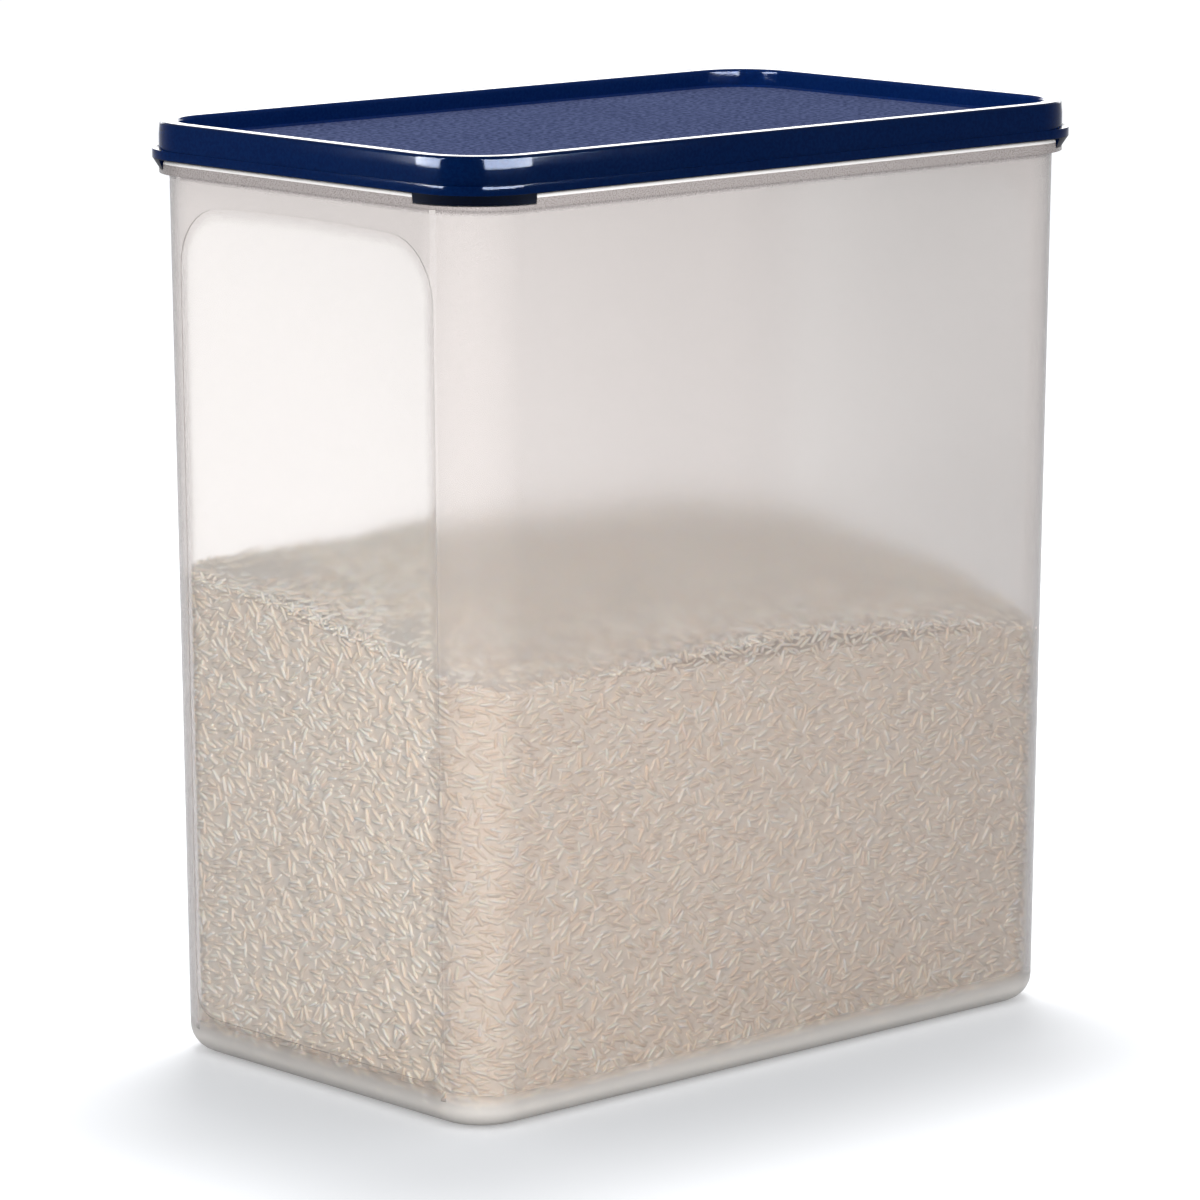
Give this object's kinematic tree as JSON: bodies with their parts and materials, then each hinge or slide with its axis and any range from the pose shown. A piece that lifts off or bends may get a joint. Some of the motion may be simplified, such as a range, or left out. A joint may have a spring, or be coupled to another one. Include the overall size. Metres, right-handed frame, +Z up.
{
  "type": "food storage container",
  "caption": "Tall rectangular frosted food keeper with sight windows on its narrow ends and a recessed press-on lid that grips the rim and stacks.",
  "frame": {"origin": "on the table, under the middle of the container's base", "axes": "+Z up and through the lid, X along the long sides, Y along the narrow ends"},
  "size_m": [0.2864, 0.174, 0.3171],
  "materials": {
    "frosted_body": "fine frosted translucent moulding, smooth clear panel on each narrow end",
    "blue_lid": "satin-gloss dark blue flexible plastic, pebbled matte panel in the recess"
  },
  "bodies": {
    "container": {"container": "frosted_body"},
    "lid": {"lid": "blue_lid"}
  },
  "joints": [
    {"name": "lid_lift", "type": "slide", "parent": "container", "child": "lid", "axis": [0, 0, 1], "range_m": [0, 0.25]}
  ]
}
